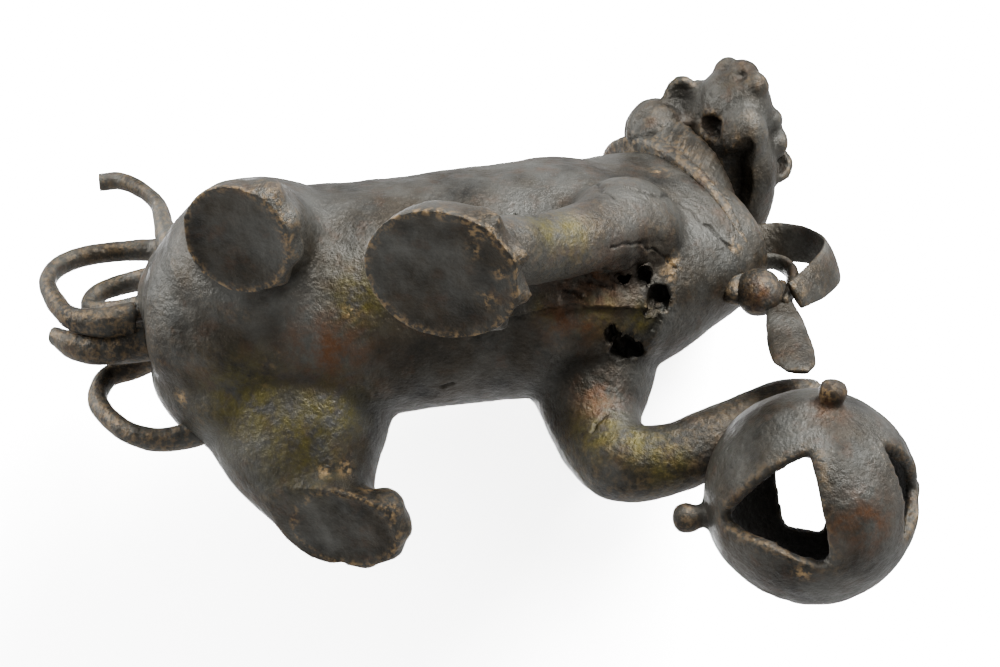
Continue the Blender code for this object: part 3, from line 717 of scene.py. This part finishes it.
# soles: a rough hollow inside the rim that the foot stands on
lift, rimWear = np.zeros(count), np.zeros(count)
for x, y, across, along, height, heading in footLook["soles"]:
    swing = np.hypot((places[:, 0] - x) / across, (places[:, 1] - y) / along) + 0.07 * wander[:, 2]
    hollow = np.clip((flawLook["soleEdge"] - swing) / 0.1, 0, 1) * (places[:, 2] < 0.3)
    lift = np.maximum(lift, hollow * flawLook["soleDepth"] * (0.9 + 1.0 * wander[:, 0]))
    onRim = np.clip(1 - np.abs(swing - flawLook["rimMiddle"]) / 0.09, 0, 1) * (places[:, 2] < 1)
    rimWear = np.maximum(rimWear, onRim)
sole = np.clip(lift / 0.2, 0, 1)
places += outward * rise[:, None]
places[:, 2] = np.maximum(places[:, 2], 0) + np.maximum(lift, 0)  # the feet stand flat
mesh.vertices.foreach_set("co", (places * mm + np.array(lionPlace)).ravel())
mesh.update()

lion = bpy.data.objects.new("lion_casting", mesh)
bpy.context.scene.collection.objects.link(lion)
mesh.shade_smooth()
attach(lion, "root")
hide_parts("guardian_lion")


# wear, patina and painted shade, as values on the skin

patinaLook = {
    # places in mm and reach in mm
    "olive": (((10.9, -1.9, 4.9), 8), ((5.4, 8.4, 7.7), 8), ((7.7, -6, 10.8), 7), ((-12.1, -10.7, 18.8), 5),
              ((12.6, -54.4, 21.8), 5), ((13.5, -62, 21.6), 4.5), ((16.5, -67.3, 19), 4), ((-5.3, -52.1, 33), 3.5),
              ((-2.9, -58.6, 37), 3), ((-7.5, -43, 29), 2.5), ((-27, -49, 25), 4.5), ((-30, -45.9, 21.5), 4)),
    "rust": (((-5.8, -45.4, 29.7), 4), ((-3.9, -49.7, 31.2), 3), ((10.3, -52.9, 28), 4), ((-4.1, -6.1, 13.3), 7),
             ((12.9, -107, 5.9), 5), ((12.5, -102.6, 2.9), 3), ((-1.7, -78.4, 50.5), 2.6), ((-14, -50, 33), 8),
             ((0.2, -97.2, 19.6), 3)),
    # the breast's holes, whose insides get painted shade, and how deep under the ball's skin its inside gets
    # painted shade
    "holes": ((-10.5, -56.5, 41), (-5.3, -61.2, 39), (2.7, -55.8, 35)),
    "holeReach": 3,
    "ballShadeDepth": 2.0,
    # places made darker on the mane behind the right ear, and their reach
    "dark": (((-17.6, -53.9, 92.8), 4), ((-15, -62, 84), 4)),
    "gold": (((7.5, 22.5, 8.4), 1.3), ((-42.1, -3.3, 0.6), 1.6), ((-36.7, -5.4, 0), 1.4),
             ((16.4, -6.6, 4), 1.4), ((17.1, -9.6, 6.3), 1.4), ((19.9, -14.9, 4.3), 1.6),
             ((21.1, -19.9, 0.8), 1.6), ((-41.5, -40.1, 0), 1.6), ((-37.4, -39.5, 0), 1.2),
             ((-33.4, -44, 0), 1.2), ((-28, -41.6, 0), 1.4), ((-10.4, -9.3, 17), 1.2),
             ((-10.4, -62.8, 45.7), 1.4), ((-8.8, -62.5, 43.5), 1.2), ((22.1, -96.7, 0), 1.5),
             ((-2.9, -96.6, 19.6), 1.6), ((-15.6, -55, 68.8), 1.5), ((-7.2, -71.8, 58.9), 1.2)),
    # shares of gold on spots, crests, scratches and the rims of the soles
    "goldShares": (0.7, 0.18, 0.2, 0.35),
    # how far a place is proud of or below the skin around it, in mm: none yet, and the range to full
    "crestRange": (0.07, 0.3),
    "valleyRange": (0.03, 0.25),
    # shares of painted shade in the hollows, in the cracks and inside the ball, and of the darkening over the
    # sunken breast
    "valleyShade": 0.7,
    "crackShade": 0.8,
    "ballInsideShade": 0.9,
    "sunkenDarkening": 0.15,
}


def spots(listed):
    value = np.zeros(count)
    for place, reach in listed:
        away = np.linalg.norm(places - np.array(place, float), axis=1)
        value = np.maximum(value, np.exp(-(away / reach) ** 2))
    return value


edges = np.empty(len(mesh.edges) * 2, dtype=int)
mesh.edges.foreach_get("vertices", edges)
edges = edges.reshape(-1, 2)
links = np.bincount(edges.ravel(), minlength=count).astype(float)


def neighbourMean(values):
    total = np.zeros_like(values)
    np.add.at(total, edges[:, 0], values[edges[:, 1]])
    np.add.at(total, edges[:, 1], values[edges[:, 0]])
    return total / (links[:, None] if values.ndim > 1 else links)


smoothed = places
for i in range(6):
    smoothed = neighbourMean(smoothed)
outward = readVectors(mesh.vertices, "normal")
proud = np.sum((places - smoothed) * outward, axis=1)
for i in range(2):
    proud = neighbourMean(proud)
crestStart, crestSpan = patinaLook["crestRange"]
crest = np.clip((proud - crestStart) / crestSpan, 0, 1)
valleyStart, valleySpan = patinaLook["valleyRange"]
valley = np.clip((-proud - valleyStart) / valleySpan, 0, 1)
fromBallCentre = np.linalg.norm(places - inFigure([ballCentre]), axis=1)
insideBall = np.clip((ballLook["radius"] - patinaLook["ballShadeDepth"] - fromBallCentre) / 0.4, 0, 1)
holeReach = reachTo(places, [(place, place) for place in patinaLook["holes"]])
inHole = np.clip(1.4 - holeReach / patinaLook["holeReach"], 0, 1)
# painted shade: hollows, cracks, the ball's inside and the breast's holes are darkened, and the sunken breast and
# the listed dark places are made darker too; kept in the tone's alpha
paintedShade = np.clip(np.maximum.reduce([
    valley * patinaLook["valleyShade"] * (1 - sole), crackDepth * patinaLook["crackShade"],
    insideBall * patinaLook["ballInsideShade"], inHole, sunken * patinaLook["sunkenDarkening"],
    spots(patinaLook["dark"])]), 0, 1)
spotGold, crestGold, scratchGold, rimGold = patinaLook["goldShares"]
gold = np.maximum(spotGold * spots(patinaLook["gold"]),
                  crest * crestGold + scratch * scratchGold + rimWear * rimGold)
tone = mesh.color_attributes.new("tone", "FLOAT_COLOR", "POINT")
values = np.stack([spots(patinaLook["olive"]), spots(patinaLook["rust"]), gold, paintedShade], axis=1)
tone.data.foreach_set("color", values.astype(np.float32).ravel())

# bronze

bronzeLook = {
    # the darkest bronze, which is also the colour of the painted shade
    "deep": (0.013, 0.012, 0.009, 1),
    "brown": (0.042, 0.034, 0.023, 1),
    "grey": (0.100, 0.100, 0.090, 1),
    "olive": (0.090, 0.076, 0.014, 1),
    "rust": (0.095, 0.040, 0.014, 1),
    "gold": (0.48, 0.31, 0.14, 1),
    "roughness": (0.3, 0.56),
    "metallic": 0.6,
    # size in mm, detail, and the range of the cloud that is spread from none to full
    "clouds": {
        "brown": (9, 6, 0.35, 0.62),
        "grey": (14, 8, 0.42, 0.68),
        "rust": (5, 7, 0.54, 0.75),
        "olivePatch": (2.6, 8, 0.36, 0.62),
        "rustPatch": (3.2, 8, 0.38, 0.62),
        "gold": (1.3, 8, 0.47, 0.6),
        "gloss": (4, 8, 0.3, 0.7),
        "grain": (1.1, 6, 0.3, 0.7),
        "pits": (2.2, 6, 0.56, 0.62),
    },
    "greyShare": 0.85,
    "rustShare": 0.35,
    "shadeShare": 0.85,
    "grainStrength": 0.7,
    "grainDepth": 0.00026,
}


def oldBronze():
    material = bpy.data.materials.new("old_bronze")
    material.use_nodes = True
    nodes, links = material.node_tree.nodes, material.node_tree.links
    shader = nodes["Principled BSDF"]
    coordinates = nodes.new("ShaderNodeTexCoord")

    def clouds(name):
        # soft clouds, spread between the low and high ends of their range
        size, detail, low, high = bronzeLook["clouds"][name]
        texture = nodes.new("ShaderNodeTexNoise")
        texture.inputs["Scale"].default_value = 1000 / size
        texture.inputs["Detail"].default_value = detail
        texture.inputs["Roughness"].default_value = 0.62
        links.new(coordinates.outputs["Object"], texture.inputs["Vector"])
        spread = nodes.new("ShaderNodeMapRange")
        spread.inputs["From Min"].default_value = low
        spread.inputs["From Max"].default_value = high
        links.new(texture.outputs["Fac"], spread.inputs["Value"])
        return spread.outputs[0]

    def product(first, second):
        node = nodes.new("ShaderNodeMath")
        node.operation = "MULTIPLY"
        node.use_clamp = True
        for socket, value in zip(node.inputs, (first, second)):
            if isinstance(value, (int, float)):
                socket.default_value = value
            else:
                links.new(value, socket)
        return node.outputs[0]

    def blend(fac, first, second):
        node = nodes.new("ShaderNodeMix")
        node.data_type = "RGBA"
        links.new(fac, node.inputs["Factor"])
        for socket, value in ((node.inputs["A"], first), (node.inputs["B"], second)):
            if isinstance(value, tuple):
                socket.default_value = value
            else:
                links.new(value, socket)
        return node.outputs["Result"]

    tone = nodes.new("ShaderNodeAttribute")
    tone.attribute_name = "tone"
    split = nodes.new("ShaderNodeSeparateColor")
    links.new(tone.outputs["Color"], split.inputs[0])
    oliveSpots, rustSpots, goldSpots = split.outputs
    # the tone's alpha holds the painted shade
    paintedShade = tone.outputs["Alpha"]

    colour = blend(clouds("brown"), bronzeLook["deep"], bronzeLook["brown"])
    colour = blend(product(clouds("grey"), bronzeLook["greyShare"]), colour, bronzeLook["grey"])
    colour = blend(product(clouds("rust"), bronzeLook["rustShare"]), colour, bronzeLook["rust"])
    colour = blend(product(oliveSpots, clouds("olivePatch")), colour, bronzeLook["olive"])
    colour = blend(product(rustSpots, clouds("rustPatch")), colour, bronzeLook["rust"])
    # painted shade: the colour is darkened toward the deep bronze
    colour = blend(product(paintedShade, bronzeLook["shadeShare"]), colour, bronzeLook["deep"])
    goldWear = product(goldSpots, clouds("gold"))
    colour = blend(goldWear, colour, bronzeLook["gold"])
    links.new(colour, shader.inputs["Base Color"])
    shader.inputs["Metallic"].default_value = bronzeLook["metallic"]

    gloss = nodes.new("ShaderNodeMapRange")
    gloss.inputs["To Min"].default_value, gloss.inputs["To Max"].default_value = bronzeLook["roughness"]
    links.new(clouds("gloss"), gloss.inputs["Value"])
    links.new(gloss.outputs[0], shader.inputs["Roughness"])

    grain = nodes.new("ShaderNodeMath")
    grain.operation = "ADD"
    links.new(clouds("grain"), grain.inputs[0])
    links.new(product(clouds("pits"), -1), grain.inputs[1])
    bump = nodes.new("ShaderNodeBump")
    bump.inputs["Distance"].default_value = bronzeLook["grainDepth"]
    bump.inputs["Strength"].default_value = bronzeLook["grainStrength"]
    links.new(grain.outputs[0], bump.inputs["Height"])
    links.new(bump.outputs[0], shader.inputs["Normal"])
    return material


mesh.materials.append(oldBronze())

# room, light and camera

roomLook = {
    "cameraPlace": (-0.28733, -0.14439, -0.38821),
    "rightWay": Vector((0.05086, -0.9586, 0.28016)),
    "upWay": Vector((-0.83375, 0.11367, 0.54031)),
    "lens": 102.08,
    "distance": 0.5246,  # from the camera to the point on its axis that was in focus
    "tableGap": 0.001,
    "boardColour": (13, 13, 13, 1),
    "backdrop": 13,
    "daylight": 1.0,
    "cameraSideLight": 0.32,
    "middle": (0, -20, 40),
    # right, up and towards the camera from the middle in m, the point lit in mm, size in m and power in watts
    "lights": {
        "keyLight": ((0.26, 0.46, 0.28), (0, -55, 50), 0.3, 9.5),
        "sideLight": ((-0.5, 0.25, 0.05), (0, -20, 40), 0.3, 5),
    },
    "rimLight": ((0.5, 0.4, 0.7), 0.5, 6),
}
rightWay = roomLook["rightWay"].normalized()
upWay = (roomLook["upWay"] - rightWay * roomLook["upWay"].dot(rightWay)).normalized()
backWay = rightWay.cross(upWay)
camera = bpy.data.objects.new("camera", bpy.data.cameras.new("camera"))
camera.matrix_world = axesMatrix(roomLook["cameraPlace"], rightWay, upWay, backWay)
camera.data.sensor_width = 36
camera.data.lens = roomLook["lens"]
camera.data.clip_start = 0.01
bpy.context.scene.collection.objects.link(camera)
bpy.context.scene.camera = camera


def paleBoard(name, matrix, size):
    # a pale board that is seen from its front alone and lets the light pass
    form = bmesh.new()
    bmesh.ops.create_grid(form, x_segments=1, y_segments=1, size=size, matrix=matrix)
    made = asObject(form, name)
    material = bpy.data.materials.new(name)
    material.use_nodes = True
    nodes, links = material.node_tree.nodes, material.node_tree.links
    shader = nodes.new("ShaderNodeBsdfDiffuse")
    shader.inputs["Color"].default_value = roomLook["boardColour"]
    clear = nodes.new("ShaderNodeBsdfTransparent")
    side = nodes.new("ShaderNodeNewGeometry")
    mix = nodes.new("ShaderNodeMixShader")
    links.new(side.outputs["Backfacing"], mix.inputs[0])
    links.new(shader.outputs[0], mix.inputs[1])
    links.new(clear.outputs[0], mix.inputs[2])
    links.new(mix.outputs[0], nodes["Material Output"].inputs[0])
    made.data.materials.append(material)
    made.visible_shadow = False
    made.visible_diffuse = False
    made.visible_glossy = False
    return made


paleBoard("floor", Matrix.Translation((0, 0, 0)), 1.2)
# the board behind the lion touches it, as it lies in the picture
deepest = float(np.min(readVectors(mesh.vertices, "co") @ np.array(backWay))) - roomLook["tableGap"]
focus = Vector(roomLook["cameraPlace"]) - backWay * roomLook["distance"]
paleBoard("table", axesMatrix(focus + backWay * (deepest - focus.dot(backWay)), rightWay, upWay, backWay), 0.45)

world = bpy.data.worlds.new("world")
bpy.context.scene.world = world
world.use_nodes = True
nodes, links = world.node_tree.nodes, world.node_tree.links
coordinates = nodes.new("ShaderNodeTexCoord")
toCamera = nodes.new("ShaderNodeVectorMath")  # the room is dimmer on the viewer's side
toCamera.operation = "DOT_PRODUCT"
toCamera.inputs[1].default_value = backWay
links.new(coordinates.outputs["Generated"], toCamera.inputs[0])
dimming = nodes.new("ShaderNodeMapRange")
dimming.inputs["From Min"].default_value = 0.2
dimming.inputs["From Max"].default_value = 0.85
dimming.inputs["To Min"].default_value = roomLook["daylight"]
dimming.inputs["To Max"].default_value = roomLook["cameraSideLight"]
links.new(toCamera.outputs["Value"], dimming.inputs["Value"])
rays = nodes.new("ShaderNodeLightPath")
strength = nodes.new("ShaderNodeMix")
links.new(rays.outputs["Is Camera Ray"], strength.inputs["Factor"])
links.new(dimming.outputs[0], strength.inputs["A"])
strength.inputs["B"].default_value = roomLook["backdrop"]
background = nodes["Background"]
background.inputs["Color"].default_value = (1, 1, 1, 1)
links.new(strength.outputs["Result"], background.inputs["Strength"])


def softLight(name, place, aim, size, power):
    lamp = bpy.data.lights.new(name, "AREA")
    lamp.shape = "DISK"
    lamp.size = size
    lamp.energy = power
    made = bpy.data.objects.new(name, lamp)
    made.location = place
    made.rotation_euler = (Vector(place) - Vector(aim)).to_track_quat("Z", "Y").to_euler()
    bpy.context.scene.collection.objects.link(made)


middle = at(*roomLook["middle"])
for name, (offset, aim, size, power) in roomLook["lights"].items():
    place = middle + upWay * offset[1] + backWay * offset[2] + rightWay * offset[0]
    softLight(name, place, at(*aim), size, power)
rimPlace, rimSize, rimPower = roomLook["rimLight"]
softLight("rimLight", Vector(rimPlace), middle, rimSize, rimPower)
